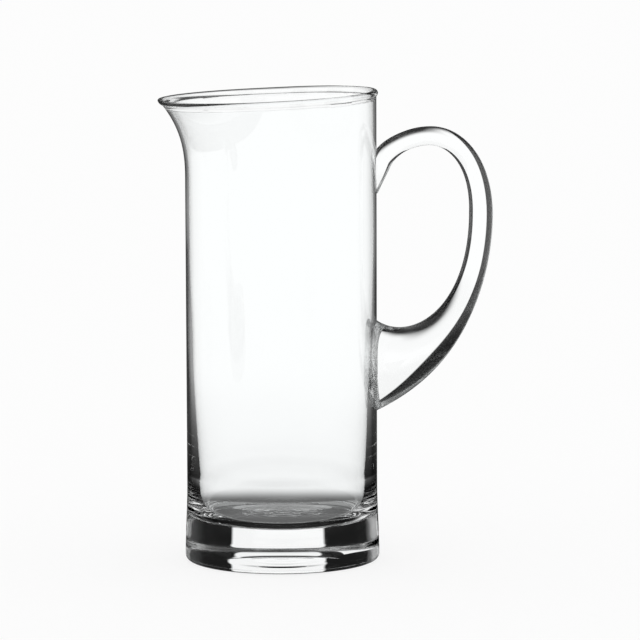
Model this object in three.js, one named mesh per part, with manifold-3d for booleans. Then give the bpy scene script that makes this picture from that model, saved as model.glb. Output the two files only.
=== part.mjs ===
// A clear glass pitcher: a blown cylinder with a heavy foot and a pulled pouring lip,
// and a solid glass handle that was welded on hot, from a broad pad low on the wall
// up over an arch to a drawn-out tail under the rim.
//
// Millimetres, +Z up. The pitcher stands on Z = 0, its lip points to -X and its handle to +X.

import * as THREE from 'three';
import { mergeVertices } from 'three/addons/utils/BufferGeometryUtils.js';
import Module from 'manifold-3d';

// Body, outside
const BODY_RADIUS = 47.3;
const RIM_HEIGHT = 231.8;
const FOOT_FLARE = 1;
const FOOT_HEIGHT = 38;
const FOOT_EDGE_RADIUS = 2.4;
const PUNT_RADIUS = 20;
const PUNT_DEPTH = 1.2;

// Body, inside: an even wall under a thickened rim, growing heavier towards the floor
const WALL_UPPER = 1.8;
const WALL_LOWER = 6;
const EVEN_WALL_DEPTH = 71;
const WALL_THICKENING = 1.6;
const BEAD_SWELL = 1.6;
const FLOOR_THICKNESS = 19.5;
const FLOOR_CORNER_HEIGHT = 24;
const FLOOR_CORNER_WIDTH = 17;
const FLOOR_CORNER_FULLNESS = 0.75;

// Pouring lip, and the rim that climbs from it towards the handle
const LIP_REACH = 13.4;
const LIP_DEPTH = 42;
const LIP_CURL = 2.6;
const LIP_SHARPNESS = 1.5;
const RIM_CLIMB = 4.4;

// Handle: where its centre line runs, all measured down from the rim and out from the wall
const FINGER_GAP = 45.7;
const PAD_BELOW_RIM = 134.3;
const GRIP_BELOW_RIM = 59;
const ARCH_BELOW_RIM = 20.8;
const ARCH_FROM_WALL = 26.4;
const WELD_BELOW_RIM = 32.8;
const TAIL_BELOW_RIM = 49;

// Handle: how its runs bend, as shares of the way between their ends
const SWEEP_OUT = 0.6;
const SWEEP_UP = 0.545;
const SHOULDER_UP = 0.66;
const SHOULDER_OUT = 0.505;
const ARCH_IN = 0.45;
const WELD_OUT = 0.12;
const WELD_UP = 0.5;
const TAIL_DOWN = 0.45;

// Handle: its section, thickness in the plane of the arch and width across it
const PAD_THICKNESS = 51;
const PAD_WIDTH = 31;
const PAD_THINNING = 3.5;
const PAD_NARROWING = 0.75;
const GRIP_THICKNESS = 11.8;
const GRIP_WIDTH = 12;
const ARCH_THICKNESS = 9.2;
const WELD_THICKNESS = 10.5;
const WELD_WIDTH = 13;
const TAIL_THICKNESS = 2.4;
const TAIL_WIDTH = 7;
const TAIL_THINNING = 1.5;
const WELD_THINNING_START = 0.4;
const WELD_SPREAD_START = 0.1;
const WELD_WRAP_START = 0.3;
const INNER_SQUARENESS = 3.2;
const OUTER_SQUARENESS = 2;

// The weld is drawn as a fine gap, so that body and handle stay two solids
const WELD_GAP = 0.3;
const WELD_BITE = 2;

const BODY_SEGMENTS = 64;
const SECTION_SEGMENTS = 24;

const GLASS = { color: 0xf3f6f5, roughness: 0.03, metalness: 0, transparent: true, opacity: 0.35 };

const { clamp, lerp, smoothstep } = THREE.MathUtils;

const wasm = await Module();
wasm.setup();

// A closed three.js geometry as a solid that can be cut.
function toSolid(geometry) {
  const bare = geometry.clone();
  bare.deleteAttribute('normal');
  bare.deleteAttribute('uv');
  const merged = mergeVertices(bare, 1e-4);
  const vertProperties = new Float32Array(merged.attributes.position.array);
  const triVerts = new Uint32Array(merged.index.array);
  return new wasm.Manifold(new wasm.Mesh({ numProp: 3, vertProperties, triVerts }));
}

// A cut solid back as a three.js geometry.
function toGeometry(solid) {
  const { vertProperties, triVerts } = solid.getMesh();
  const geometry = new THREE.BufferGeometry();
  geometry.setAttribute('position', new THREE.BufferAttribute(vertProperties, 3));
  geometry.setIndex(new THREE.BufferAttribute(triVerts, 1));
  geometry.computeVertexNormals();
  return geometry;
}

// The points of a circular arc in the profile's plane, radius across and height up.
function arc(radius, height, size, from, to, steps) {
  return new THREE.EllipseCurve(radius, height, size, size, from, to, to < from).getPoints(steps);
}

// The outside radius at a height: straight, with a foot that swells softly towards its edge.
function outerRadius(height) {
  return BODY_RADIUS + FOOT_FLARE * (1 - smoothstep(height, FOOT_EDGE_RADIUS, FOOT_HEIGHT));
}

const floorCornerTop = FLOOR_THICKNESS + FLOOR_CORNER_HEIGHT;
const evenWallBottom = RIM_HEIGHT - EVEN_WALL_DEPTH;

// The wall's thickness at a height, from even under the rim to heavy above the floor.
function wallThickness(height) {
  const low = clamp((evenWallBottom - height) / (evenWallBottom - floorCornerTop), 0, 1);
  return WALL_UPPER + (WALL_LOWER - WALL_UPPER) * low ** WALL_THICKENING;
}

// The fire-polished bead: a round that runs into the wall's two faces a little under its middle.
const beadRadius = (WALL_UPPER + BEAD_SWELL) / 2;
const beadHeight = RIM_HEIGHT - beadRadius;
const beadMeet = Math.acos(WALL_UPPER / 2 / beadRadius);
const beadFoot = beadHeight - beadRadius * Math.sin(beadMeet);

function beadProfile() {
  return arc(BODY_RADIUS - WALL_UPPER / 2, beadHeight, beadRadius, -beadMeet, Math.PI + beadMeet, 8);
}

// The outside of the body, grown by a gap, from the standing edge up to just under the bead.
function outerProfile(gap) {
  const edgeCentre = BODY_RADIUS + FOOT_FLARE - FOOT_EDGE_RADIUS;
  const points = arc(edgeCentre, FOOT_EDGE_RADIUS, FOOT_EDGE_RADIUS + gap, -Math.PI / 2, 0, 4);
  const flareSteps = 4;
  for (let i = 1; i <= flareSteps; i++) {
    const height = lerp(FOOT_EDGE_RADIUS, FOOT_HEIGHT, i / flareSteps);
    points.push(new THREE.Vector2(outerRadius(height) + gap, height));
  }
  const wallSteps = 12;
  for (let i = 1; i < wallSteps; i++) {
    // The steps crowd together towards the rim, where the lip bends the wall.
    const height = lerp(FOOT_HEIGHT, beadFoot, 1 - (1 - i / wallSteps) ** 2);
    points.push(new THREE.Vector2(BODY_RADIUS + gap, height));
  }
  return points;
}

// The inside of the body, from just under the bead down the wall and round the corner to the floor.
function innerProfile() {
  const points = [];
  const wallSteps = 11;
  for (let i = 1; i < wallSteps; i++) {
    const height = lerp(beadFoot, floorCornerTop, (i / wallSteps) ** 1.5);
    points.push(new THREE.Vector2(outerRadius(height) - wallThickness(height), height));
  }
  const wallEnd = outerRadius(floorCornerTop) - WALL_LOWER;
  const corner = new THREE.CubicBezierCurve(
    new THREE.Vector2(wallEnd, floorCornerTop),
    new THREE.Vector2(wallEnd, lerp(floorCornerTop, FLOOR_THICKNESS, FLOOR_CORNER_FULLNESS)),
    new THREE.Vector2(wallEnd, FLOOR_THICKNESS),
    new THREE.Vector2(wallEnd - FLOOR_CORNER_WIDTH, FLOOR_THICKNESS),
  );
  return [...points, ...corner.getPoints(8), new THREE.Vector2(0, FLOOR_THICKNESS)];
}

// The shallow polished hollow under the foot, where the glass was broken off the iron.
function puntProfile() {
  const sphere = (PUNT_RADIUS ** 2 + PUNT_DEPTH ** 2) / (2 * PUNT_DEPTH);
  const half = Math.asin(PUNT_RADIUS / sphere);
  return arc(0, PUNT_DEPTH - sphere, sphere, Math.PI / 2, Math.PI / 2 - half, 3);
}

function lathe(profile) {
  return new THREE.LatheGeometry(profile, BODY_SEGMENTS).rotateX(Math.PI / 2);
}

// Pulls the soft rim: out into the lip on the -X side, and up towards the handle on the +X side.
function pullRim(geometry) {
  const position = geometry.attributes.position;
  const point = new THREE.Vector3();
  for (let i = 0; i < position.count; i++) {
    point.fromBufferAttribute(position, i);
    const rise = clamp((point.z - RIM_HEIGHT + LIP_DEPTH) / LIP_DEPTH, 0, 1);
    const radius = Math.hypot(point.x, point.y);
    if (rise === 0 || radius === 0) continue;
    const towardsLip = Math.max(0, -point.x / radius);
    const pull = LIP_REACH * towardsLip ** LIP_SHARPNESS * rise ** LIP_CURL;
    const stretch = (radius + pull) / radius;
    const climb = (RIM_CLIMB / 2) * (point.x / BODY_RADIUS) * rise;
    position.setXYZ(i, point.x * stretch, point.y * stretch, point.z + climb);
  }
  return geometry;
}

function makeBody() {
  const profile = [...puntProfile(), ...outerProfile(0), ...beadProfile(), ...innerProfile()];
  return new THREE.Mesh(pullRim(lathe(profile)), new THREE.MeshStandardMaterial(GLASS));
}

// The handle's centre line in the XZ plane, a curve for each run: pad to grip, grip to arch,
// arch to weld, and the tail that was drawn down the wall.
function handleCurves() {
  const at = (x, z) => new THREE.Vector3(x, 0, z);
  const rootX = Math.sqrt(BODY_RADIUS ** 2 - (PAD_WIDTH / 2) ** 2) - WELD_BITE;
  const gripX = BODY_RADIUS + FINGER_GAP + GRIP_THICKNESS / 2;
  const archX = BODY_RADIUS + ARCH_FROM_WALL;
  const weldX = BODY_RADIUS + WELD_THICKNESS / 4;
  const padZ = RIM_HEIGHT - PAD_BELOW_RIM;
  const gripZ = RIM_HEIGHT - GRIP_BELOW_RIM;
  const archZ = RIM_HEIGHT - ARCH_BELOW_RIM;
  const weldZ = RIM_HEIGHT - WELD_BELOW_RIM;
  const tailZ = RIM_HEIGHT - TAIL_BELOW_RIM;
  return [
    new THREE.CubicBezierCurve3(
      at(rootX, padZ),
      at(lerp(BODY_RADIUS, gripX, SWEEP_OUT), padZ),
      at(gripX, lerp(gripZ, padZ, SWEEP_UP)),
      at(gripX, gripZ),
    ),
    new THREE.CubicBezierCurve3(
      at(gripX, gripZ),
      at(gripX, lerp(gripZ, archZ, SHOULDER_UP)),
      at(lerp(archX, gripX, SHOULDER_OUT), archZ),
      at(archX, archZ),
    ),
    new THREE.CubicBezierCurve3(
      at(archX, archZ),
      at(lerp(archX, weldX, ARCH_IN), archZ),
      at(lerp(weldX, archX, WELD_OUT), lerp(weldZ, archZ, WELD_UP)),
      at(weldX, weldZ),
    ),
    new THREE.QuadraticBezierCurve3(
      at(weldX, weldZ),
      at(BODY_RADIUS, lerp(weldZ, tailZ, TAIL_DOWN)),
      at(BODY_RADIUS - TAIL_THICKNESS / 4, tailZ),
    ),
  ];
}

// How the section changes along each run: its sizes at the two ends, how soon it thins and how soon
// its width changes, and how closely the hot glass wraps round the wall.
const HANDLE_RUNS = [
  {
    steps: 20,
    thickness: [PAD_THICKNESS, GRIP_THICKNESS],
    width: [PAD_WIDTH, GRIP_WIDTH],
    thinning: (share) => 1 - (1 - share) ** PAD_THINNING,
    spread: (share) => smoothstep(share, 0, PAD_NARROWING),
    wrap: () => 0,
  },
  {
    steps: 10,
    thickness: [GRIP_THICKNESS, ARCH_THICKNESS],
    width: [GRIP_WIDTH, GRIP_WIDTH],
    thinning: (share) => share,
    spread: (share) => share,
    wrap: () => 0,
  },
  {
    steps: 10,
    thickness: [ARCH_THICKNESS, WELD_THICKNESS],
    width: [GRIP_WIDTH, WELD_WIDTH],
    thinning: (share) => smoothstep(share, WELD_THINNING_START, 1),
    spread: (share) => smoothstep(share, WELD_SPREAD_START, 1),
    wrap: (share) => smoothstep(share, WELD_WRAP_START, 1),
  },
  {
    steps: 8,
    thickness: [WELD_THICKNESS, TAIL_THICKNESS],
    width: [WELD_WIDTH, TAIL_WIDTH],
    thinning: (share) => share ** TAIL_THINNING,
    spread: (share) => share ** TAIL_THINNING,
    wrap: () => 1,
  },
];

// One ring of the strap's section, square to the centre line: the side towards the fingers is nearly flat,
// and the outer side is round.
function sectionRing(centre, tangent, thickness, width, wrap) {
  const across = new THREE.Vector3(-tangent.z, 0, tangent.x);
  const squared = (value, power) => Math.sign(value) * Math.abs(value) ** (2 / power);
  const ring = [];
  for (let i = 0; i < SECTION_SEGMENTS; i++) {
    const turn = (i / SECTION_SEGMENTS) * 2 * Math.PI;
    const power = Math.cos(turn) < 0 ? OUTER_SQUARENESS : INNER_SQUARENESS;
    const point = centre.clone().addScaledVector(across, (thickness / 2) * squared(Math.cos(turn), power));
    point.y += (width / 2) * squared(Math.sin(turn), power);
    point.x -= wrap * (BODY_RADIUS - Math.sqrt(BODY_RADIUS ** 2 - point.y ** 2));
    ring.push(point);
  }
  return ring;
}

function handleRings() {
  const rings = [];
  handleCurves().forEach((curve, run) => {
    const { steps, thickness, width, thinning, spread, wrap } = HANDLE_RUNS[run];
    for (let i = run === 0 ? 0 : 1; i <= steps; i++) {
      const share = i / steps;
      rings.push(
        sectionRing(
          curve.getPointAt(share),
          curve.getTangentAt(share),
          lerp(...thickness, thinning(share)),
          lerp(...width, spread(share)),
          wrap(share),
        ),
      );
    }
  });
  return rings;
}

// Skins a row of rings into one closed geometry with a fan on each end.
function loft(rings) {
  const sides = rings[0].length;
  const index = [];
  for (let r = 0; r + 1 < rings.length; r++) {
    for (let i = 0; i < sides; i++) {
      const a = r * sides + i;
      const b = r * sides + ((i + 1) % sides);
      index.push(a, a + sides, b, b, a + sides, b + sides);
    }
  }
  const last = (rings.length - 1) * sides;
  for (let i = 1; i + 1 < sides; i++) {
    index.push(0, i, i + 1);
    index.push(last, last + i + 1, last + i);
  }
  const geometry = new THREE.BufferGeometry().setFromPoints(rings.flat());
  geometry.setIndex(index);
  return geometry;
}

function makeHandle() {
  // The body as a full solid, grown by the weld's gap, trims the pad and the tail to its wall.
  const trim = [
    new THREE.Vector2(0, -WELD_GAP),
    ...outerProfile(WELD_GAP),
    new THREE.Vector2(BODY_RADIUS + WELD_GAP, beadFoot),
    new THREE.Vector2(0, beadFoot),
  ];
  const solid = toSolid(loft(handleRings())).subtract(toSolid(lathe(trim)));
  return new THREE.Mesh(toGeometry(solid), new THREE.MeshStandardMaterial(GLASS));
}

const body = makeBody();
body.name = 'body';
const handle = makeHandle();
handle.name = 'handle';

const pitcher = new THREE.Group();
pitcher.add(body, handle);

// The origin lies on the table midway between the lip's tip and the back of the handle.
const reach = new THREE.Box3().setFromObject(pitcher);
pitcher.position.x = -(reach.min.x + reach.max.x) / 2;
pitcher.updateMatrixWorld(true);

export default pitcher;
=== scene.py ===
# %% [markdown]
# # A clear glass pitcher
# The pitcher is two pieces of glass: a blown body with a heavy base and a pulled lip, and a solid
# handle that was welded on hot. The CAD frame gives both their places and sizes. This script makes
# the fine surfaces that clear glass needs, because every facet and every step in a wall shows once
# light bends through it.

# %% Load the CAD frame
import math

import bmesh
import bpy
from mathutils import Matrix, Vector


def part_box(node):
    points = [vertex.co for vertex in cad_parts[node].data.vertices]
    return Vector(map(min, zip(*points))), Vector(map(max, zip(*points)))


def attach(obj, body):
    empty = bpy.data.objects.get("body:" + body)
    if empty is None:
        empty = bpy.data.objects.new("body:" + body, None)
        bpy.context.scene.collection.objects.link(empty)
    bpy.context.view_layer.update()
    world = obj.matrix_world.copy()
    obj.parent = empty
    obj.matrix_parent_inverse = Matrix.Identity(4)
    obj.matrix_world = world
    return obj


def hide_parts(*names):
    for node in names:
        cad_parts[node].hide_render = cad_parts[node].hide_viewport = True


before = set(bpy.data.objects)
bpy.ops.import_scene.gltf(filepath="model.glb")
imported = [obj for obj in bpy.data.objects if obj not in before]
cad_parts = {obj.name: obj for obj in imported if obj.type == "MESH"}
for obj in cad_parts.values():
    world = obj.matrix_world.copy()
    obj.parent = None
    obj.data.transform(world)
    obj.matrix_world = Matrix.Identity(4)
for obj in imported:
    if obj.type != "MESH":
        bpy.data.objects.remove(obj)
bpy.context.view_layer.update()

MM = 0.001
scene = bpy.context.scene

# %% [markdown]
# ## Sizes of the body
# The frame's box gives the large sizes: the foot is round, so its width across Y is its diameter, and the
# body's axis lies one foot radius in from the foot's edge. The small sizes, such as walls and rounds, are
# those of the real jug, and the solids have them too.

# %% Body sizes
FOOT_FLARE = 1.0 * MM
FOOT_HEIGHT = 38 * MM
FOOT_EDGE_RADIUS = 2.4 * MM
PUNT_RADIUS = 20 * MM
PUNT_DEPTH = 1.2 * MM
GRINDING_PITCH = 6.7 * MM
GRINDING_DEPTH = 0.1 * MM
WALL_UPPER = 1.8 * MM
WALL_LOWER = 6.0 * MM
EVEN_WALL_DEPTH = 71 * MM
WALL_THICKENING = 1.6
BEAD_SWELL = 1.6 * MM
FLOOR_THICKNESS = 19.5 * MM
FLOOR_CORNER_HEIGHT = 24 * MM
FLOOR_CORNER_WIDTH = 17 * MM
FLOOR_CORNER_FULLNESS = 0.75
TOOL_MARK_PITCH = 5.2 * MM
TOOL_MARK_DEPTH = 0.12 * MM
RIPPLE = 0.06 * MM
RIPPLE_WIDTH = 26 * MM
RIPPLE_HEIGHT = 60 * MM
LIP_REACH = 13.4 * MM
LIP_DEPTH = 42 * MM
LIP_CURL = 2.6
LIP_SHARPNESS = 1.5
RIM_CLIMB = 4.4 * MM

body_low, body_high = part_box("body")
foot_radius = (body_high.y - body_low.y) / 2
axis_x = body_high.x - foot_radius
body_radius = foot_radius - FOOT_FLARE
rim_height = body_high.z - RIM_CLIMB / 2 * (body_radius - WALL_UPPER / 2) / body_radius
print(f"axis at x {axis_x / MM:.2f} mm, body radius {body_radius / MM:.2f}, rim {rim_height / MM:.2f}")

# %% [markdown]
# ## One helper for node trees
# Shapes, surfaces and light are all node trees here, and they are all built the same way: a node, its
# settings, and its inputs. An input is a plain value, another node's output, or another node, which then
# stands for its first output.


# %% Add a node
def add(tree, kind, inputs=None, **settings):
    node = tree.nodes.new(kind)
    for name, value in settings.items():
        setattr(node, name, value)
    for key, value in (inputs or {}).items():
        if isinstance(value, bpy.types.Node):
            value = value.outputs[0]
        if isinstance(value, bpy.types.NodeSocket):
            tree.links.new(value, node.inputs[key])
        else:
            node.inputs[key].default_value = value
    return node


# %% [markdown]
# ## The glass
# Soda-lime glass, with an index of refraction of 1.52 and the faintest cool cast. Body and handle come
# from the same pot but were shaped in different ways. Blowing leaves broad, shallow waves in the body.
# Drawing out the strap leaves finer ones in the handle. The flame then melts rim and handle until nothing
# rough is left, while the wall, which cooled in the air, keeps a trace of haze. A painted look could fake
# all of this from one side only, so the material stays clear, and thickness and bends, which are real
# geometry, do the rest.


# %% Glass
def linear(hex_colour):
    channels = [int(hex_colour[i:i + 2], 16) / 255 for i in (1, 3, 5)]
    return [c / 12.92 if c <= 0.04045 else ((c + 0.055) / 1.055) ** 2.4 for c in channels] + [1]


GLASS_TINT = linear("#FEFFFF")
GLASS_IOR = 1.52
HAZE_SIZE = 30 * MM
HAZE_LEAST = 0.008
HAZE_MOST = 0.012
MELTED_RIM = 5.5 * MM
BLOWN_WAVE = 24 * MM
BLOWN_WAVE_DEPTH = 0.012 * MM
DRAWN_WAVE = 9 * MM
DRAWN_WAVE_DEPTH = 0.006 * MM


def fire_polished_glass(name, wave_size, wave_depth):
    """Clear glass with the waves that its making left: they make what is seen through it swim a little."""
    material = bpy.data.materials.new(name)
    material.use_nodes = True
    tree = material.node_tree
    shader = tree.nodes["Principled BSDF"]
    shader.inputs["Base Color"].default_value = GLASS_TINT
    shader.inputs["IOR"].default_value = GLASS_IOR
    shader.inputs["Transmission Weight"].default_value = 1.0
    place = add(tree, "ShaderNodeTexCoord").outputs["Object"]
    waves = add(tree, "ShaderNodeTexNoise", {"Vector": place, "Scale": 1 / wave_size, "Detail": 1})
    bump = add(tree, "ShaderNodeBump", {"Strength": 1.0, "Distance": wave_depth, "Height": waves})
    tree.links.new(bump.outputs[0], shader.inputs["Normal"])
    shader.inputs["Roughness"].default_value = 0
    return material


def breath_of_haze(material):
    """The wall cools in the air with a trace of haze, in clouds, but the flame clears it from the rim."""
    tree = material.node_tree
    place = add(tree, "ShaderNodeTexCoord").outputs["Object"]
    haze = add(tree, "ShaderNodeTexNoise", {"Vector": place, "Scale": 1 / HAZE_SIZE, "Detail": 2})
    haze = add(tree, "ShaderNodeMapRange", {0: haze, 1: 0.45, 2: 0.75, 3: HAZE_LEAST, 4: HAZE_MOST})
    slope = RIM_CLIMB / 2 / body_radius
    level = add(tree, "ShaderNodeVectorMath", {0: place, 1: (-slope, 0, 1)}, operation="DOT_PRODUCT")
    melted = rim_height - slope * axis_x - MELTED_RIM
    below = add(tree, "ShaderNodeMath", {0: level.outputs["Value"], 1: melted}, operation="LESS_THAN")
    haze = add(tree, "ShaderNodeMath", {0: haze, 1: below}, operation="MULTIPLY")
    tree.links.new(haze.outputs[0], tree.nodes["Principled BSDF"].inputs["Roughness"])


def fused_glass(name):
    """The fused seam inside the weld, which the eye can't see: light goes straight through it."""
    material = bpy.data.materials.new(name)
    material.use_nodes = True
    tree = material.node_tree
    tree.nodes.remove(tree.nodes["Principled BSDF"])
    through = add(tree, "ShaderNodeBsdfTransparent")
    tree.links.new(through.outputs[0], tree.nodes["Material Output"].inputs["Surface"])
    return material


body_glass = fire_polished_glass("blown_soda_lime_glass", BLOWN_WAVE, BLOWN_WAVE_DEPTH)
handle_glass = fire_polished_glass("drawn_soda_lime_glass", DRAWN_WAVE, DRAWN_WAVE_DEPTH)
weld = fused_glass("fused_soda_lime_weld")
breath_of_haze(body_glass)
for material in (body_glass, handle_glass, weld):
    print(material.name, "has", len(material.node_tree.nodes), "nodes")

# %% [markdown]
# ## The body's profile
# Below its lip the body is round, so half of its section, turned round the axis, makes it. The outside
# starts under the base, in the shallow hollow that was ground where the iron broke off, and runs over the
# ring that it stands on and up the wall. The inside starts with the bead of the rim, which the flame let
# swell, and runs down a wall that thickens to a concave corner and to a floor with the rings of the tool.
# Stacked cylinders would be quicker, but glass shows every hard step, so the two lines are smooth curves.

# %% Profile
PUNT_STEPS = 60
FOOT_EDGE_STEPS = 14
WALL_STEPS = 120
BEAD_STEPS = 16
LINING_STEPS = 100
CORNER_STEPS = 40
FLOOR_STEPS = 90


def smooth(value, low, high):
    share = min(1, max(0, (value - low) / (high - low)))
    return share * share * (3 - 2 * share)


def arc(radius, height, size, start, end, steps):
    turns = [start + (end - start) * i / steps for i in range(steps + 1)]
    return [(radius + size * math.cos(t), height + size * math.sin(t)) for t in turns]


def wave(distance, pitch, depth):
    """A wave that starts at 0 and swings up to its depth."""
    return depth / 2 * (1 - math.cos(2 * math.pi * distance / pitch))


def outer_radius(height):
    return body_radius + FOOT_FLARE * (1 - smooth(height, FOOT_EDGE_RADIUS, FOOT_HEIGHT))


floor_corner_top = FLOOR_THICKNESS + FLOOR_CORNER_HEIGHT
even_wall_bottom = rim_height - EVEN_WALL_DEPTH
bead_radius = (WALL_UPPER + BEAD_SWELL) / 2
bead_height = rim_height - bead_radius
bead_meet = math.acos(WALL_UPPER / 2 / bead_radius)
bead_foot = bead_height - bead_radius * math.sin(bead_meet)


def wall_thickness(height):
    low = min(1, max(0, (even_wall_bottom - height) / (even_wall_bottom - floor_corner_top)))
    return WALL_UPPER + (WALL_LOWER - WALL_UPPER) * low ** WALL_THICKENING


def outside_profile():
    sphere = (PUNT_RADIUS ** 2 + PUNT_DEPTH ** 2) / (2 * PUNT_DEPTH)
    half = math.asin(PUNT_RADIUS / sphere)
    points = arc(0, PUNT_DEPTH - sphere, sphere, math.pi / 2, math.pi / 2 - half, PUNT_STEPS)
    points = [(r, z + wave(PUNT_RADIUS - r, GRINDING_PITCH, GRINDING_DEPTH)) for r, z in points]
    edge_centre = foot_radius - FOOT_EDGE_RADIUS
    points += arc(edge_centre, FOOT_EDGE_RADIUS, FOOT_EDGE_RADIUS, -math.pi / 2, 0, FOOT_EDGE_STEPS)
    for i in range(1, WALL_STEPS):
        height = FOOT_EDGE_RADIUS + (bead_foot - FOOT_EDGE_RADIUS) * i / WALL_STEPS
        points.append((outer_radius(height), height))
    points.append((body_radius, bead_foot))
    return points


def inside_profile():
    bead_centre = body_radius - WALL_UPPER / 2
    points = arc(bead_centre, bead_height, bead_radius, -bead_meet, math.pi + bead_meet, BEAD_STEPS)
    points[0] = (body_radius, bead_foot)
    for i in range(1, LINING_STEPS):
        height = bead_foot + (floor_corner_top - bead_foot) * i / LINING_STEPS
        points.append((outer_radius(height) - wall_thickness(height), height))
    wall_end = outer_radius(floor_corner_top) - WALL_LOWER
    belly = floor_corner_top + (FLOOR_THICKNESS - floor_corner_top) * FLOOR_CORNER_FULLNESS
    for i in range(CORNER_STEPS + 1):
        t = i / CORNER_STEPS
        radius = wall_end - FLOOR_CORNER_WIDTH * t ** 3
        height = (
            floor_corner_top * (1 - t) ** 3
            + 3 * belly * (1 - t) ** 2 * t
            + FLOOR_THICKNESS * (3 * (1 - t) * t ** 2 + t ** 3)
        )
        points.append((radius, height))
    flat = wall_end - FLOOR_CORNER_WIDTH
    for i in range(1, FLOOR_STEPS + 1):
        radius = flat * (1 - i / FLOOR_STEPS)
        mark = wave(flat - radius, TOOL_MARK_PITCH, TOOL_MARK_DEPTH)
        points.append((radius, FLOOR_THICKNESS - mark))
    return points


outside = outside_profile()
inside = inside_profile()
print(len(outside), "points outside and", len(inside), "inside")

# %% [markdown]
# ## Turning the body
# A profile is a mesh of edges only. A geometry node tree lays a grid over it, one column for each point of
# the profile and one row for each step round the axis. It then pulls the soft rim, out into the lip on one
# side and up towards the handle on the other, as the glassmaker does with a wet tool. A spin of the profile
# would make the cylinder too, but the tree keeps lip and climb as named sizes that can be changed. The wall
# inside also gets a slow ripple, because blown glass is never quite even.

# %% Lathe tree
MATH = "ShaderNodeMath"
MERGED = 0.001 * MM
FLOAT, INT, MATERIAL = "NodeSocketFloat", "NodeSocketInt", "NodeSocketMaterial"


def tree_with_inputs(name, sockets):
    tree = bpy.data.node_groups.new(name, "GeometryNodeTree")
    tree.interface.new_socket("Geometry", in_out="INPUT", socket_type="NodeSocketGeometry")
    for label, kind in sockets.items():
        tree.interface.new_socket(label, in_out="INPUT", socket_type=kind)
    tree.interface.new_socket("Geometry", in_out="OUTPUT", socket_type="NodeSocketGeometry")
    return tree, add(tree, "NodeGroupInput").outputs


def grid_over(tree, line, around):
    """A grid over a line of points, and for each of its points the line's index and the turn."""
    count = add(tree, "GeometryNodeAttributeDomainSize", {0: line}).outputs["Point Count"]
    rows = add(tree, MATH, {0: around, 1: 1}, operation="ADD")
    grid = add(tree, "GeometryNodeMeshGrid", {"Vertices X": count, "Vertices Y": rows})
    index = add(tree, "GeometryNodeInputIndex")
    middle = add(tree, MATH, {0: index, 1: 0.5}, operation="ADD")
    share = add(tree, MATH, {0: middle, 1: rows}, operation="DIVIDE")
    station = add(tree, MATH, {0: share}, operation="FLOOR")
    before = add(tree, MATH, {0: station, 1: rows}, operation="MULTIPLY")
    row = add(tree, MATH, {0: index, 1: before}, operation="SUBTRACT")
    part = add(tree, MATH, {0: row, 1: around}, operation="DIVIDE")
    turn = add(tree, MATH, {0: part, 1: 2 * math.pi}, operation="MULTIPLY")
    return grid, station, turn


def close_and_glaze(tree, grid, place, flip, glass):
    moved = add(tree, "GeometryNodeSetPosition", {"Geometry": grid, "Position": place})
    closed = add(tree, "GeometryNodeMergeByDistance", {"Geometry": moved, "Distance": MERGED})
    outward = add(tree, "GeometryNodeFlipFaces", {"Mesh": closed, "Selection": flip})
    rounded = add(tree, "GeometryNodeSetShadeSmooth", {"Geometry": outward})
    real = add(tree, "GeometryNodeRealizeInstances", {"Geometry": rounded})
    glazed = add(tree, "GeometryNodeSetMaterial", {"Geometry": real, "Material": glass})
    add(tree, "NodeGroupOutput", {0: glazed})


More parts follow.
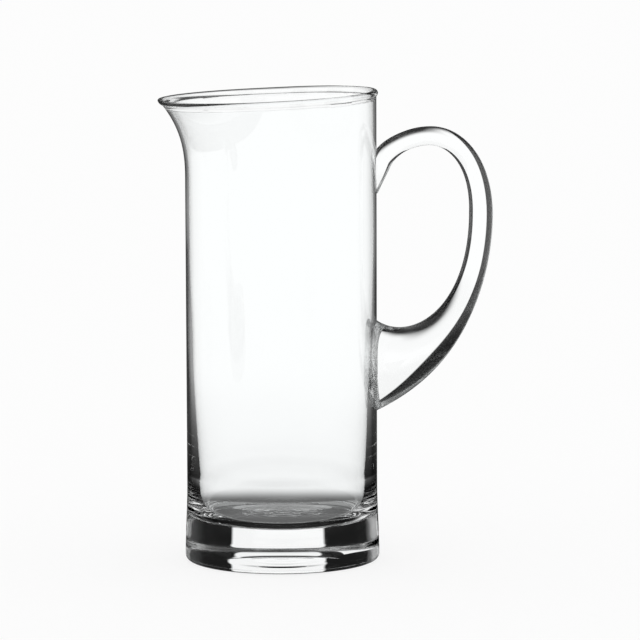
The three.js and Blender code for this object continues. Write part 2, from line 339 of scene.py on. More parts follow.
def lathe_tree():
    tree, size = tree_with_inputs("turned_and_pulled_rim", {
        "Segments": INT, "Axis X": FLOAT, "Body Radius": FLOAT, "Rim Height": FLOAT, "Lip Reach": FLOAT,
        "Lip Depth": FLOAT, "Lip Curl": FLOAT, "Lip Sharpness": FLOAT, "Rim Climb": FLOAT, "Ripple": FLOAT,
        "Ripple Width": FLOAT, "Ripple Height": FLOAT, "Glass": MATERIAL,
    })
    grid, column, turn = grid_over(tree, size["Geometry"], size["Segments"])
    place = add(tree, "GeometryNodeInputPosition")
    sample = {0: size["Geometry"], 1: place, 2: column}
    point = add(tree, "ShaderNodeSeparateXYZ", {
        0: add(tree, "GeometryNodeSampleIndex", sample, data_type="FLOAT_VECTOR"),
    }).outputs
    cosine = add(tree, MATH, {0: turn}, operation="COSINE")
    sine = add(tree, MATH, {0: turn}, operation="SINE")
    lip_foot = add(tree, MATH, {0: size["Rim Height"], 1: size["Lip Depth"]}, operation="SUBTRACT")
    rise = add(tree, "ShaderNodeMapRange", {0: point["Z"], 1: lip_foot, 2: size["Rim Height"]})
    curl = add(tree, MATH, {0: rise, 1: size["Lip Curl"]}, operation="POWER")
    away = add(tree, MATH, {0: cosine, 1: -1}, operation="MULTIPLY", use_clamp=True)
    spout = add(tree, MATH, {0: away, 1: size["Lip Sharpness"]}, operation="POWER")
    shape = add(tree, MATH, {0: curl, 1: spout}, operation="MULTIPLY")
    radius = add(tree, MATH, {0: shape, 1: size["Lip Reach"], 2: point["X"]}, operation="MULTIPLY_ADD")
    spot = add(tree, "ShaderNodeCombineXYZ", {
        0: add(tree, MATH, {0: cosine, 1: size["Body Radius"]}, operation="MULTIPLY"),
        1: add(tree, MATH, {0: sine, 1: size["Body Radius"]}, operation="MULTIPLY"),
    })
    wide = add(tree, MATH, {0: 1, 1: size["Ripple Width"]}, operation="DIVIDE")
    tall = add(tree, MATH, {0: 1, 1: size["Ripple Height"]}, operation="DIVIDE")
    level = add(tree, MATH, {0: point["Z"], 1: tall}, operation="MULTIPLY")
    across = add(tree, "ShaderNodeVectorMath", {0: spot, 3: wide}, operation="SCALE")
    upright = add(tree, "ShaderNodeCombineXYZ", {2: level})
    spot = add(tree, "ShaderNodeVectorMath", {0: across, 1: upright}, operation="ADD")
    noise = add(tree, "ShaderNodeTexNoise", {"Vector": spot, "Scale": 1, "Detail": 1})
    swing = add(tree, "ShaderNodeMapRange", {0: noise, 1: 0.3, 2: 0.7, 3: -1, 4: 1})
    below_rim = add(tree, "ShaderNodeMapRange", {0: point["Z"], 1: size["Rim Height"], 2: lip_foot})
    ripple = add(tree, MATH, {0: swing, 1: below_rim}, operation="MULTIPLY")
    radius = add(tree, MATH, {0: ripple, 1: size["Ripple"], 2: radius}, operation="MULTIPLY_ADD")
    tilt = add(tree, MATH, {0: point["X"], 1: cosine}, operation="MULTIPLY")
    tilt = add(tree, MATH, {0: tilt, 1: size["Body Radius"]}, operation="DIVIDE")
    tilt = add(tree, MATH, {0: tilt, 1: rise}, operation="MULTIPLY")
    climb = add(tree, MATH, {0: size["Rim Climb"], 1: 2}, operation="DIVIDE")
    target = add(tree, "ShaderNodeCombineXYZ", {
        0: add(tree, MATH, {0: radius, 1: cosine, 2: size["Axis X"]}, operation="MULTIPLY_ADD"),
        1: add(tree, MATH, {0: radius, 1: sine}, operation="MULTIPLY"),
        2: add(tree, MATH, {0: tilt, 1: climb, 2: point["Z"]}, operation="MULTIPLY_ADD"),
    })
    close_and_glaze(tree, grid, target, True, size["Glass"])
    return tree


lathe = lathe_tree()
print("the lathe tree has", len(lathe.nodes), "nodes")

# %% [markdown]
# ## From tree to plain mesh
# A tree runs on a line of points and leaves a plain mesh, so that no modifier stays on a piece. Outside and
# inside of the body are turned apart: the outside, closed by a lid, is also what the handle is cut to.


# %% Run a tree on a line of points
SEGMENTS = 192


def line_mesh(name, points):
    mesh = bpy.data.meshes.new(name)
    mesh.from_pydata(points, [(i, i + 1) for i in range(len(points) - 1)], [])
    return mesh


def take_mesh(piece):
    """What the modifiers of a piece make, as a plain mesh. The modifiers go."""
    graph = bpy.context.evaluated_depsgraph_get()
    mesh = bpy.data.meshes.new_from_object(piece.evaluated_get(graph))
    piece.modifiers.clear()
    return mesh


def grow(name, line, tree, values):
    piece = bpy.data.objects.new(name, line)
    scene.collection.objects.link(piece)
    modifier = piece.modifiers.new(name, "NODES")
    modifier.node_group = tree
    labels = {item.name: item.identifier for item in tree.interface.items_tree if item.in_out == "INPUT"}
    for label, value in values.items():
        modifier[labels[label]] = value
    piece.data = take_mesh(piece)
    piece.data.name = name
    return piece


def turn_profile(name, profile, glass, ripple):
    return grow(name, line_mesh(name, [(r, 0, z) for r, z in profile]), lathe, {
        "Segments": SEGMENTS, "Axis X": axis_x, "Body Radius": body_radius, "Rim Height": rim_height,
        "Lip Reach": LIP_REACH, "Lip Depth": LIP_DEPTH, "Lip Curl": LIP_CURL,
        "Lip Sharpness": LIP_SHARPNESS, "Rim Climb": RIM_CLIMB,
        "Ripple": ripple, "Ripple Width": RIPPLE_WIDTH, "Ripple Height": RIPPLE_HEIGHT,
        "Glass": glass,
    })


def shape_report(piece):
    bm = bmesh.new()
    bm.from_mesh(piece.data)
    open_edges = sum(len(edge.link_faces) != 2 for edge in bm.edges)
    volume = bm.calc_volume(signed=True) / (10 * MM) ** 3
    names = [material.name if material else None for material in piece.data.materials]
    print(f"{piece.name}: {len(bm.faces)} faces, {open_edges} open edges, {volume:.1f} cm3, {names}")
    bm.free()


body_core = turn_profile("body_core", outside + [(0, bead_foot)], body_glass, 0)
body_lining = turn_profile("body_lining", inside, body_glass, RIPPLE)
shape_report(body_core)
shape_report(body_lining)

# %% [markdown]
# ## The handle's path
# The handle is a second gather of glass. Its broad end is pressed on low on the wall, and the strap is
# drawn out, bent over and laid on again under the rim, where the end runs down into a thin tail. So the
# path leaves the pad level, sweeps out and up into the grip, turns over the arch and comes down on the
# wall. Four curves with named end points follow those steps. One drawn curve would be shorter, but no
# single number in it would be the finger gap or the height of the arch.

# %% Handle sizes
FINGER_GAP = 45.7 * MM
PAD_BELOW_RIM = 134.3 * MM
GRIP_BELOW_RIM = 59 * MM
ARCH_BELOW_RIM = 20.8 * MM
ARCH_FROM_WALL = 26.4 * MM
WELD_BELOW_RIM = 32.8 * MM
TAIL_BELOW_RIM = 49 * MM
SWEEP_OUT = 0.6
SWEEP_UP = 0.545
SHOULDER_UP = 0.66
SHOULDER_OUT = 0.505
ARCH_IN = 0.45
WELD_OUT = 0.12
WELD_UP = 0.5
TAIL_DOWN = 0.45
PAD_THICKNESS = 51 * MM
PAD_WIDTH = 31 * MM
PAD_THINNING = 3.5
PAD_NARROWING = 0.75
GRIP_THICKNESS = 11.8 * MM
GRIP_WIDTH = 12 * MM
ARCH_THICKNESS = 9.2 * MM
WELD_THICKNESS = 10.5 * MM
WELD_WIDTH = 13 * MM
TAIL_THICKNESS = 2.4 * MM
TAIL_WIDTH = 7 * MM
INNER_SQUARENESS = 3.2
OUTER_SQUARENESS = 2.0
WELD_THINNING_START = 0.4
WELD_SPREAD_START = 0.1
WELD_WRAP_START = 0.3
TAIL_THINNING = 1.5
WELD_BITE = 2 * MM


# %% Path
FINE_STEPS = 400


def mix(start, end, share):
    return start + (end - start) * share


def along(points, share):
    """The point at a share of a Bezier curve, by repeated halving between its control points."""
    while len(points) > 1:
        points = [a.lerp(b, share) for a, b in zip(points, points[1:])]
    return points[0]


def even_points(curve, steps):
    fine = [along(curve, i / FINE_STEPS) for i in range(FINE_STEPS + 1)]
    lengths = [0]
    for a, b in zip(fine, fine[1:]):
        lengths.append(lengths[-1] + (b - a).length)
    found = []
    j = 0
    for i in range(steps + 1):
        wanted = lengths[-1] * i / steps
        while j < len(fine) - 2 and lengths[j + 1] < wanted:
            j += 1
        found.append(fine[j].lerp(fine[j + 1], (wanted - lengths[j]) / (lengths[j + 1] - lengths[j])))
    return found


def path_runs():
    root_x = math.sqrt(body_radius ** 2 - (PAD_WIDTH / 2) ** 2) - WELD_BITE
    grip_x = body_radius + FINGER_GAP + GRIP_THICKNESS / 2
    arch_x = body_radius + ARCH_FROM_WALL
    weld_x = body_radius + WELD_THICKNESS / 4
    tail_x = body_radius - TAIL_THICKNESS / 4
    pad_z, grip_z, arch_z, weld_z, tail_z = (
        rim_height - depth
        for depth in (PAD_BELOW_RIM, GRIP_BELOW_RIM, ARCH_BELOW_RIM, WELD_BELOW_RIM, TAIL_BELOW_RIM)
    )
    runs = [
        (
            (root_x, pad_z),
            (mix(body_radius, grip_x, SWEEP_OUT), pad_z),
            (grip_x, mix(grip_z, pad_z, SWEEP_UP)),
            (grip_x, grip_z),
        ),
        (
            (grip_x, grip_z),
            (grip_x, mix(grip_z, arch_z, SHOULDER_UP)),
            (mix(arch_x, grip_x, SHOULDER_OUT), arch_z),
            (arch_x, arch_z),
        ),
        (
            (arch_x, arch_z),
            (mix(arch_x, weld_x, ARCH_IN), arch_z),
            (mix(weld_x, arch_x, WELD_OUT), mix(weld_z, arch_z, WELD_UP)),
            (weld_x, weld_z),
        ),
        ((weld_x, weld_z), (body_radius, mix(weld_z, tail_z, TAIL_DOWN)), (tail_x, tail_z)),
    ]
    return [[Vector((x, 0, z)) for x, z in run] for run in runs]


def stations():
    """Each station of the strap: its centre, thickness, width, and how closely it wraps round the wall."""
    changes = [
        (90, (PAD_THICKNESS, GRIP_THICKNESS), (PAD_WIDTH, GRIP_WIDTH),
         lambda s: 1 - (1 - s) ** PAD_THINNING, lambda s: smooth(s, 0, PAD_NARROWING), lambda s: 0),
        (50, (GRIP_THICKNESS, ARCH_THICKNESS), (GRIP_WIDTH, GRIP_WIDTH),
         lambda s: s, lambda s: s, lambda s: 0),
        (50, (ARCH_THICKNESS, WELD_THICKNESS), (GRIP_WIDTH, WELD_WIDTH),
         lambda s: smooth(s, WELD_THINNING_START, 1), lambda s: smooth(s, WELD_SPREAD_START, 1),
         lambda s: smooth(s, WELD_WRAP_START, 1)),
        (40, (WELD_THICKNESS, TAIL_THICKNESS), (WELD_WIDTH, TAIL_WIDTH),
         lambda s: s ** TAIL_THINNING, lambda s: s ** TAIL_THINNING, lambda s: 1),
    ]
    rows = []
    for curve, change in zip(path_runs(), changes):
        steps, thickness, width, thinning, narrowing, wrap = change
        for i, centre in enumerate(even_points(curve, steps)):
            if i or not rows:
                share = i / steps
                sizes = (mix(*thickness, thinning(share)), mix(*width, narrowing(share)))
                rows.append((centre, *sizes, wrap(share)))
    first, last = rows[0], rows[-1]
    return [(first[0], 0, 0, first[3]), *rows, (last[0], 0, 0, last[3])]


def strap_line():
    rows = stations()
    line = line_mesh("strap", [row[0] for row in rows])
    for column, name in enumerate(("thickness", "width", "wrap"), 1):
        layer = line.attributes.new(name, "FLOAT", "POINT")
        layer.data.foreach_set("value", [row[column] for row in rows])
    across = []
    for i in range(len(rows)):
        after = rows[min(len(rows) - 2, i + 1)][0]
        before = rows[max(1, i - 1)][0]
        way = (after - before).normalized()
        across += [-way.z, 0, way.x]
    line.attributes.new("across", "FLOAT_VECTOR", "POINT").data.foreach_set("vector", across)
    return line


# %% [markdown]
# ## Sweeping the handle
# A second tree sets one section at each station of the path. On the finger side the section is nearly flat,
# where the strap lay on the tool, and outside it is round, as soft glass pulls itself. The flat side gives
# the narrow dark line along the inside of the grip, and the round side the broad one outside. Near the upper
# weld the section wraps round the wall, so that the tail lies on it. A curve with a bevel can't change its
# width and its thickness apart, so the tree works out each point.


# %% Sweep tree
def sweep_tree():
    tree, size = tree_with_inputs("swept_strap", {
        "Around": INT, "Axis X": FLOAT, "Body Radius": FLOAT, "Inner Squareness": FLOAT,
        "Outer Squareness": FLOAT, "Glass": MATERIAL,
    })
    grid, station, turn = grid_over(tree, size["Geometry"], size["Around"])
    fields = {}
    for name in ("thickness", "width", "wrap", "across"):
        kind = "FLOAT_VECTOR" if name == "across" else "FLOAT"
        stored = add(tree, "GeometryNodeInputNamedAttribute", {0: name}, data_type=kind)
        sample = {0: size["Geometry"], 1: stored, 2: station}
        fields[name] = add(tree, "GeometryNodeSampleIndex", sample, data_type=kind)
    sample = {0: size["Geometry"], 1: add(tree, "GeometryNodeInputPosition"), 2: station}
    centre = add(tree, "GeometryNodeSampleIndex", sample, data_type="FLOAT_VECTOR")
    up = add(tree, MATH, {0: turn}, operation="COSINE")
    below = add(tree, MATH, {0: up, 1: 0}, operation="LESS_THAN")
    square = {0: below, 2: size["Inner Squareness"], 3: size["Outer Squareness"]}
    square = add(tree, "ShaderNodeMix", square)
    power = add(tree, MATH, {0: 2, 1: square}, operation="DIVIDE")
    reach = {}
    for name, swing in (("thickness", "COSINE"), ("width", "SINE")):
        round_part = add(tree, MATH, {0: turn}, operation=swing)
        sign = add(tree, MATH, {0: round_part}, operation="SIGN")
        bare = add(tree, MATH, {0: round_part}, operation="ABSOLUTE")
        squared = add(tree, MATH, {0: bare, 1: power}, operation="POWER")
        signed = add(tree, MATH, {0: squared, 1: sign}, operation="MULTIPLY")
        half = add(tree, MATH, {0: fields[name], 1: 2}, operation="DIVIDE")
        reach[name] = add(tree, MATH, {0: half, 1: signed}, operation="MULTIPLY")
    out = add(tree, "ShaderNodeVectorMath", {0: fields["across"], 3: reach["thickness"]}, operation="SCALE")
    point = add(tree, "ShaderNodeVectorMath", {0: centre, 1: out}, operation="ADD")
    part = add(tree, "ShaderNodeSeparateXYZ", {0: point}).outputs
    side = reach["width"]
    radius_square = add(tree, MATH, {0: size["Body Radius"], 1: 2}, operation="POWER")
    side_square = add(tree, MATH, {0: side, 1: side}, operation="MULTIPLY")
    chord_square = add(tree, MATH, {0: radius_square, 1: side_square}, operation="SUBTRACT")
    chord = add(tree, MATH, {0: chord_square}, operation="SQRT")
    hollow = add(tree, MATH, {0: size["Body Radius"], 1: chord}, operation="SUBTRACT")
    sink = add(tree, MATH, {0: hollow, 1: fields["wrap"]}, operation="MULTIPLY")
    set_back = add(tree, MATH, {0: part["X"], 1: sink}, operation="SUBTRACT")
    target = add(tree, "ShaderNodeCombineXYZ", {
        0: add(tree, MATH, {0: set_back, 1: size["Axis X"]}, operation="ADD"),
        1: side,
        2: part["Z"],
    })
    close_and_glaze(tree, grid, target, False, size["Glass"])
    return tree


AROUND = 96
sweep = sweep_tree()
handle_piece = grow("pitcher_handle", strap_line(), sweep, {
    "Around": AROUND, "Axis X": axis_x, "Body Radius": body_radius, "Inner Squareness": INNER_SQUARENESS,
    "Outer Squareness": OUTER_SQUARENESS, "Glass": handle_glass,
})
shape_report(handle_piece)

# %% [markdown]
# ## The weld
# Body and handle were fused hot, so light passes from one into the other as if there were no surface
# between them. Two solids that only touch would show a dark seam, and one joined mesh would lose a piece.
# So both stay closed meshes of their own. Each is cut along the line where the handle meets the wall, and
# the patch inside that line, which both share, gets a material that lets light straight through.


# %% Cut both along the weld
def cut(piece, cutter):
    modifier = piece.modifiers.new("weld", "BOOLEAN")
    modifier.object = cutter
    modifier.operation = "DIFFERENCE"
    modifier.solver = "EXACT"
    modifier.material_mode = "TRANSFER"
    return take_mesh(piece)


def faces_of(bm, mesh, material):
    slot = list(mesh.materials).index(material)
    return {face for face in bm.faces if face.material_index == slot}


whole_handle = handle_piece.data
handle_mesh = cut(handle_piece, body_core)
wall_mesh = cut(body_core, handle_piece)
print("the cut handle has", len(handle_mesh.polygons), "faces, the cut wall", len(wall_mesh.polygons))

# %% [markdown]
# ## Closing both pieces
# The cut leaves the wall's patch on the end of the handle, which keeps it as its end face, with a sharp edge
# round it. The body gets the same patch, turned round, in the hole that the handle left in its wall. Then
# its lining is joined on along the rim, so both pieces end as closed meshes.


# %% Finish the handle
def dress(bm, mesh, patch, glass):
    """Give the faces of the patch the weld, the others the glass, and round them all."""
    for face in bm.faces:
        face.material_index = int(face in patch)
        face.smooth = True
    bm.to_mesh(mesh)
    bm.free()
    mesh.materials.clear()
    mesh.materials.append(glass)
    mesh.materials.append(weld)


def weld_patch(mesh):
    """The faces that the wall left on the handle, turned round, so that they close the wall again."""
    bm = bmesh.new()
    bm.from_mesh(mesh)
    patch = faces_of(bm, mesh, body_glass)
    bmesh.ops.delete(bm, geom=[face for face in bm.faces if face not in patch], context="FACES")
    bmesh.ops.reverse_faces(bm, faces=bm.faces[:])
    turned = bpy.data.meshes.new("weld_patch")
    bm.to_mesh(turned)
    bm.free()
    return turned


def finish_handle(mesh):
    bm = bmesh.new()
    bm.from_mesh(mesh)
    patch = faces_of(bm, mesh, body_glass)
    for edge in bm.edges:
        edge.smooth = sum(face in patch for face in edge.link_faces) != 1
    dress(bm, mesh, patch, handle_glass)


patch_mesh = weld_patch(handle_mesh)
finish_handle(handle_mesh)
handle_piece.data = handle_mesh
handle_mesh.name = "pitcher_handle"
shape_report(handle_piece)


# %% Finish the body
def finish_body(wall, patch_mesh, lining):
    bm = bmesh.new()
    bm.from_mesh(wall)
    level = {face for face in bm.faces if face.normal.z > 0.5}
    lid = {face for face in level if face.calc_center_median().z > rim_height / 2}
    bmesh.ops.delete(bm, geom=list(lid | faces_of(bm, wall, handle_glass)), context="FACES")
    before = len(bm.faces)
    bm.from_mesh(patch_mesh)
    bm.faces.ensure_lookup_table()
    patch = set(bm.faces[before:])
    bm.from_mesh(lining)
    bmesh.ops.remove_doubles(bm, verts=bm.verts, dist=MERGED)
    mesh = bpy.data.meshes.new("pitcher_body")
    dress(bm, mesh, patch, body_glass)
    return mesh


body_piece = bpy.data.objects.new("pitcher_body", finish_body(wall_mesh, patch_mesh, body_lining.data))
scene.collection.objects.link(body_piece)
for scrap in (body_core, body_lining):
    bpy.data.objects.remove(scrap)
for mesh in (whole_handle, wall_mesh, patch_mesh):
    bpy.data.meshes.remove(mesh)
shape_report(body_piece)

# %% [markdown]
# ## The camera
# The photo was taken from a good two metres away with a long lens, from a little above the rim, so the
# mouth and the foot show as flat ellipses and the wall hardly narrows downwards. Lens, height and tilt were
# fitted to those ellipses and to the outline of the handle. The small roll is the photo's own.

# %% Camera
CAMERA_LENS = 252.09
CAMERA_SENSOR = 36
CAMERA_PLACE = (axis_x + 20.1 * MM, -2205 * MM, 403.4 * MM)
CAMERA_DOWN = math.radians(7.339)
CAMERA_ROLL = 0.0035

camera_data = bpy.data.cameras.new("camera")
camera_data.lens = CAMERA_LENS
camera_data.sensor_width = CAMERA_SENSOR
camera_data.clip_end = 100
camera = bpy.data.objects.new("camera", camera_data)
camera.location = CAMERA_PLACE
camera.rotation_euler = (math.pi / 2 - CAMERA_DOWN, CAMERA_ROLL, 0)
scene.collection.objects.link(camera)
scene.camera = camera
print(f"the camera stands {-camera.location.y:.2f} m away with a lens of {camera_data.lens:.0f} mm")

# %% [markdown]
# ## What a ray has been through
# Clear glass has no colour of its own: its dark lines are where it bends or mirrors the view towards
# something dark in the room. So the room is lit for the glass, as on a product table, with white ahead and
# dark boards at the sides and below. Two counts tell what a ray that left the glass has met. Two crossings
# are solid glass, as in base, handle and bead, and four are the hollow body. A reflection on the way means
# that the ray was mirrored inside the glass, which gives a wall its dark edge.


# %% Kinds of rays
def ray_kinds(tree):
    """The light path, and 1 for a ray that bounced, that was mirrored in glass, that crossed the hollow."""
    path = add(tree, "ShaderNodeLightPath").outputs
    bounced = add(tree, MATH, {0: path["Glossy Depth"], 1: 0.5}, operation="GREATER_THAN")
    inner = add(tree, MATH, {0: bounced, 1: path["Is Transmission Ray"]}, operation="MULTIPLY")
    hollow = add(tree, MATH, {0: path["Transmission Depth"], 1: 3.5}, operation="GREATER_THAN")
    return path, bounced, inner, hollow


# %% [markdown]
# ## The floor
# The pitcher stands on white paper. The camera sees it as even white with the soft shadow of the glass.
# Seen through the hollow body, the paper has painted shade that darkens it towards the foot, for the light
# that the heavy base keeps off, and that gives the inner floor its grey. Rays that were mirrored in the solid
# glass find painted black shade on the paper near the foot, and everywhere else they pass on to the studio.

# %% Floor
FLOOR_SIZE = 14.0
FLOOR_GAP = 0.3 * MM
PAPER_GRAIN = 0.8 * MM
SHADED_FROM = 55 * MM
SHADED_TO = 150 * MM
PAINTED_BLACK_FROM = 200 * MM
PAINTED_BLACK_TO = 450 * MM
SHADED_LEAST = 0.12
CAMERA_GLOW = 0.8

half = FLOOR_SIZE / 2
corners = [(-half, -half, 0), (half, -half, 0), (half, half, 0), (-half, half, 0)]
floor_mesh = bpy.data.meshes.new("floor")
floor_mesh.from_pydata(corners, [], [(0, 1, 2, 3)])
floor = bpy.data.objects.new("floor", floor_mesh)
floor.location.z = -FLOOR_GAP
scene.collection.objects.link(floor)


# %% White paper
def white_paper_and_painted_shade():
    """Matt white paper, with a fine grain that keeps it from looking like a screen, and painted shade near
    the foot that only rays from the glass see.
    """
    material = bpy.data.materials.new("white_paper_and_painted_shade")
    material.use_nodes = True
    tree = material.node_tree
    tree.nodes.remove(tree.nodes["Principled BSDF"])
    path, bounced, inner, hollow = ray_kinds(tree)
    place = add(tree, "ShaderNodeTexCoord").outputs["Object"]
    away = add(tree, "ShaderNodeVectorMath", {0: place, 1: (axis_x, 0, 0)}, operation="DISTANCE")
    away = away.outputs["Value"]
    grain = add(tree, "ShaderNodeTexNoise", {"Vector": place, "Scale": 1 / PAPER_GRAIN, "Detail": 3})
    bump = add(tree, "ShaderNodeBump", {"Strength": 0.1, "Distance": 0.02 * MM, "Height": grain})
    matt = add(tree, "ShaderNodeBsdfDiffuse", {"Color": linear("#F3F3F3"), "Normal": bump})
    plain = add(tree, "ShaderNodeEmission", {"Strength": 1.0})
    lit = add(tree, MATH, {0: path["Is Camera Ray"], 1: CAMERA_GLOW}, operation="MULTIPLY")
    shown = add(tree, "ShaderNodeMixShader", {0: lit, 1: matt, 2: plain})
    # painted shade: an emission that darkens the paper towards the foot, seen only through the hollow body
    through = {0: away, 1: SHADED_FROM, 2: SHADED_TO, 3: SHADED_LEAST, 4: 1}
    through = add(tree, "ShaderNodeMapRange", through, interpolation_type="SMOOTHSTEP")
    painted_foot_shade = add(tree, "ShaderNodeEmission", {"Strength": through})
    # painted black shade on the paper near the foot, seen only by rays mirrored in the solid glass
    far = {0: away, 1: PAINTED_BLACK_FROM, 2: PAINTED_BLACK_TO}
    far = add(tree, "ShaderNodeMapRange", far, interpolation_type="SMOOTHSTEP")
    clear = add(tree, "ShaderNodeBsdfTransparent")
    painted_black_shade = add(tree, "ShaderNodeEmission", {"Strength": 0.0})
    painted_black_near_foot = add(tree, "ShaderNodeMixShader", {0: far, 1: painted_black_shade, 2: clear})
    in_solid = add(tree, MATH, {0: bounced, 1: hollow}, operation="GREATER_THAN")
    solid = add(tree, "ShaderNodeMixShader", {0: in_solid, 1: clear, 2: painted_black_near_foot})
    unmirrored = add(tree, MATH, {0: hollow, 1: inner}, operation="GREATER_THAN")
    in_glass = add(tree, "ShaderNodeMixShader", {0: unmirrored, 1: solid, 2: painted_foot_shade})
    final = add(tree, "ShaderNodeMixShader", {0: path["Is Glossy Ray"], 1: shown, 2: in_glass})
    tree.links.new(final.outputs[0], tree.nodes["Material Output"].inputs["Surface"])
    return material


floor_mesh.materials.append(white_paper_and_painted_shade())
print(f"the paper is {FLOOR_SIZE:.0f} m wide and lies {FLOOR_GAP / MM:.1f} mm under the foot")

# %% [markdown]
# ## The studio
# The studio is a plain white room to the camera and to the paper, at strength 1. Only rays that come out
# of the glass see the boards: white panels straight ahead, at the sides and behind, black boards between
# them, and dark below. The base is a solid lens, so its white window is the panel ahead and its two black
# blocks are the boards beside it. Lamps and cards in the room would do the same for one side of the jug
# only. Angles are in degrees, a turn of 0 is straight ahead, and right is positive. Each ramp goes from
# one angle to another (1 and 2), and so from one brightness to another (3 and 4).

# %% Studio sizes
BLACK_BOARD = 0.012
FRONT_PANEL_HALF = 20.2
SIDE_PANEL_HALF = 11.0
REAR_PANEL_HALF = 13.0
REAR_FROM = 112
PANEL_TURN = 1.8
PANEL_EDGE = {1: -0.7, 2: 0.7, 3: 1, 4: BLACK_BOARD}
CEILING = {1: 45, 2: 60, 3: 0, 4: 1}
RIGHT_GREY = {1: 36, 2: 58, 3: 0, 4: 0.06}
LEFT_GREY = {1: -52, 2: -66, 3: 0, 4: 0.35}
BELOW_RIGHT = {1: -30, 2: -15, 3: 0.03, 4: 1}
BELOW_LEFT = {1: -55, 2: -28, 3: 0.03, 4: 1}
LEFTWARDS = {1: 4, 2: -8, 3: 0, 4: 1}
LIT_PAPER = {1: -20, 2: -26, 3: 0, 4: 1}
SKIMMING = {1: 2, 2: 30, 3: 0.03, 4: 0.4}
THROWN_ASIDE = {1: 32, 2: 50, 3: 0, 4: 1}
DIMMING = {1: 26, 2: 40, 3: 1, 4: 0.15}
BACKWARDS = {1: 60, 2: 110, 3: 0.12, 4: 0.35}
UNDER_FOOT = {1: -30, 2: -12, 3: 0.1, 4: 1}
GLANCED = {1: 35, 2: 75, 3: 0.1, 4: 1}
GLINT_TURN = -61
GLINT_HALF = 29
GLINT_LIFT = 14

world = bpy.data.worlds.new("studio")
scene.world = world
world.use_nodes = True
studio = world.node_tree


# %% Directions
RAMP = "ShaderNodeMapRange"
MIX = "ShaderNodeMix"

path, bounced, inner, hollow = ray_kinds(studio)
way = add(studio, "ShaderNodeTexCoord").outputs["Generated"]
part = add(studio, "ShaderNodeSeparateXYZ", {0: way}).outputs
turn = add(studio, MATH, {0: part["X"], 1: part["Y"]}, operation="ARCTAN2")
turn = add(studio, MATH, {0: turn}, operation="DEGREES")
turn = add(studio, MATH, {0: turn, 1: PANEL_TURN}, operation="SUBTRACT")
lift = add(studio, MATH, {0: part["Z"]}, operation="ARCSINE")
lift = add(studio, MATH, {0: lift}, operation="DEGREES")
aside = add(studio, MATH, {0: turn}, operation="ABSOLUTE")
rising = add(studio, MATH, {0: lift, 1: 0}, operation="GREATER_THAN")

# %% [markdown]
# ## Straight through solid glass
# The boards turn grey towards the sides, more on the left, which lightens the outer ends of the base. Below,
# the dark starts sooner on the right, so the arch of the handle has a broad dark edge on its left half and
# a thin one on its right half. Only rim and handle show that dark: they were melted free of haze, and a ray
# that leaves such glass counts as a sharp one. A ray that leaves the wall, with its trace of haze, doesn't.
# It finds the lit paper steeply below, so the mouth stays white when it is seen from above.

# %% Panels
off_quarter = add(studio, MATH, {0: turn, 1: 45}, operation="PINGPONG")
off_eighth = add(studio, MATH, {0: turn, 1: 22.5}, operation="PINGPONG")
sideways = add(studio, MATH, {0: aside, 1: 90, 2: 45}, operation="COMPARE")
panel_half = add(studio, MIX, {0: sideways, 2: FRONT_PANEL_HALF, 3: SIDE_PANEL_HALF})
past_edge = add(studio, MATH, {0: off_quarter, 1: panel_half}, operation="SUBTRACT")
quarters = add(studio, RAMP, {0: past_edge, **PANEL_EDGE})
past_edge = add(studio, MATH, {0: off_eighth, 1: REAR_PANEL_HALF}, operation="SUBTRACT")
eighths = add(studio, RAMP, {0: past_edge, **PANEL_EDGE})
right_grey = add(studio, RAMP, {0: turn, **RIGHT_GREY})
left_grey = add(studio, RAMP, {0: turn, **LEFT_GREY})
greys = add(studio, MATH, {0: right_grey, 1: left_grey}, operation="MAXIMUM")
quarters = add(studio, MATH, {0: quarters, 1: greys}, operation="MAXIMUM")
rear = add(studio, MATH, {0: aside, 1: REAR_FROM}, operation="GREATER_THAN")
panels = add(studio, MIX, {0: rear, 2: quarters, 3: eighths})
ceiling = add(studio, RAMP, {0: lift, **CEILING})
panels = add(studio, MATH, {0: panels, 1: ceiling}, operation="MAXIMUM")

# %% Dark below
SMOOTH = "SMOOTHSTEP"
below_right = add(studio, RAMP, {0: lift, **BELOW_RIGHT}, interpolation_type=SMOOTH)
below_left = add(studio, RAMP, {0: lift, **BELOW_LEFT}, interpolation_type=SMOOTH)
leftwards = add(studio, RAMP, {0: turn, **LEFTWARDS})
below = add(studio, MIX, {0: leftwards, 2: below_right, 3: below_left})
from_polished = add(studio, MATH, {0: panels, 1: below}, operation="MULTIPLY")
lit_paper = add(studio, RAMP, {0: lift, **LIT_PAPER})
from_wall = add(studio, MATH, {0: panels, 1: lit_paper}, operation="MAXIMUM")
boards = add(studio, MIX, {0: path["Is Singular Ray"], 2: from_wall, 3: from_polished})
straight = add(studio, MIX, {0: hollow, 2: boards, 3: 1.0})

# %% [markdown]
# ## Mirrored in the glass
# A ray that skims along in the wall and leaves it downwards makes the dark line along each edge of the
# body. It lightens inwards, as the ray is thrown further aside. Upwards, the mirrored base shows the same
# boards again. Rays that the heavy base throws back through the inner floor, or down under the foot, find
# grey there. What only glances off the outside sees a white card behind the camera, and dark ahead, so the
# middle of the body stays white and its edges stay dark.

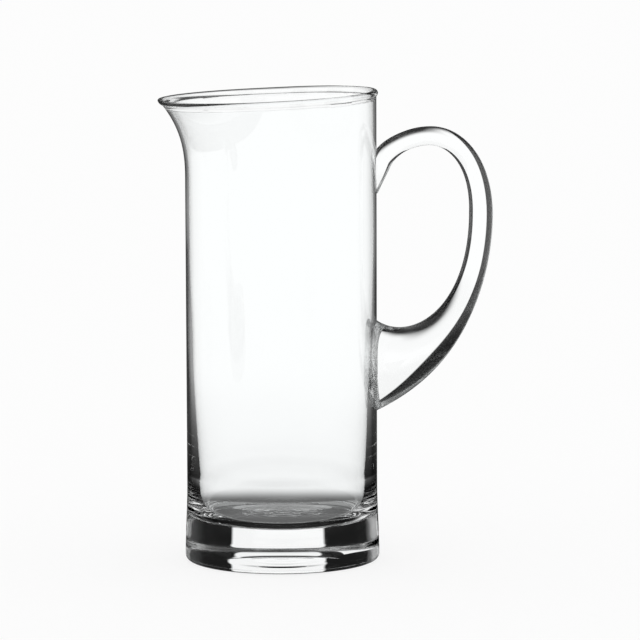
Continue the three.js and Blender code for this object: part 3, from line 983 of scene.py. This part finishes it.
# %% Mirrored rays
skimming = add(studio, RAMP, {0: aside, **SKIMMING})
thrown_aside = add(studio, RAMP, {0: aside, **THROWN_ASIDE})
sinking = add(studio, MATH, {0: skimming, 1: thrown_aside}, operation="MAXIMUM")
steep = add(studio, MATH, {0: lift, 1: GLINT_LIFT}, operation="GREATER_THAN")
left_side = add(studio, MATH, {0: turn, 1: GLINT_TURN, 2: GLINT_HALF}, operation="COMPARE")
left_glint = add(studio, MATH, {0: left_side, 1: steep}, operation="MULTIPLY")
facing = add(studio, MATH, {0: boards, 1: left_glint}, operation="MAXIMUM")
dimming = add(studio, RAMP, {0: lift, **DIMMING})
raised = add(studio, MATH, {0: dimming, 1: facing}, operation="MULTIPLY")
in_solid = add(studio, MIX, {0: rising, 2: sinking, 3: raised})
backwards = add(studio, RAMP, {0: aside, **BACKWARDS})
under_foot = add(studio, RAMP, {0: lift, **UNDER_FOOT})
in_hollow = add(studio, MIX, {0: rising, 2: under_foot, 3: backwards})
mirrored = add(studio, MIX, {0: hollow, 2: in_solid, 3: in_hollow})
glanced = add(studio, RAMP, {0: aside, **GLANCED})

# %% [markdown]
# ## One white room
# Camera and paper see plain white at strength 1. Only a ray from the glass picks one of the three views:
# straight through, mirrored or glanced off. Light crosses many surfaces in a hollow glass body, so the limits
# on its bounces are raised, or the base would turn black.

# %% Put the studio together
seen = add(studio, MIX, {0: inner, 2: straight, 3: mirrored})
seen = add(studio, MIX, {0: path["Is Reflection Ray"], 2: seen, 3: glanced})
strength = add(studio, MIX, {0: path["Is Glossy Ray"], 2: 1.0, 3: seen})
background = studio.nodes["Background"]
background.inputs["Color"].default_value = linear("#FFFFFF")
studio.links.new(strength.outputs[0], background.inputs["Strength"])
scene.cycles.max_bounces = 24
scene.cycles.glossy_bounces = 16
scene.cycles.transmission_bounces = 24
scene.cycles.transparent_max_bounces = 16
print("the studio has", len(studio.nodes), "nodes")

# %% [markdown]
# ## Hand over
# Each piece rides on the fixed root and stands in for its CAD node. Nothing moves on a glass pitcher, so
# there is only the rest pose.

# %% Hand the pieces to the frame
for piece, node, slot in ((body_piece, "body", "blown_glass"), (handle_piece, "handle", "handle_glass")):
    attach(piece, "root")
    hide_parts(node)

scene.view_settings.view_transform = "Standard"
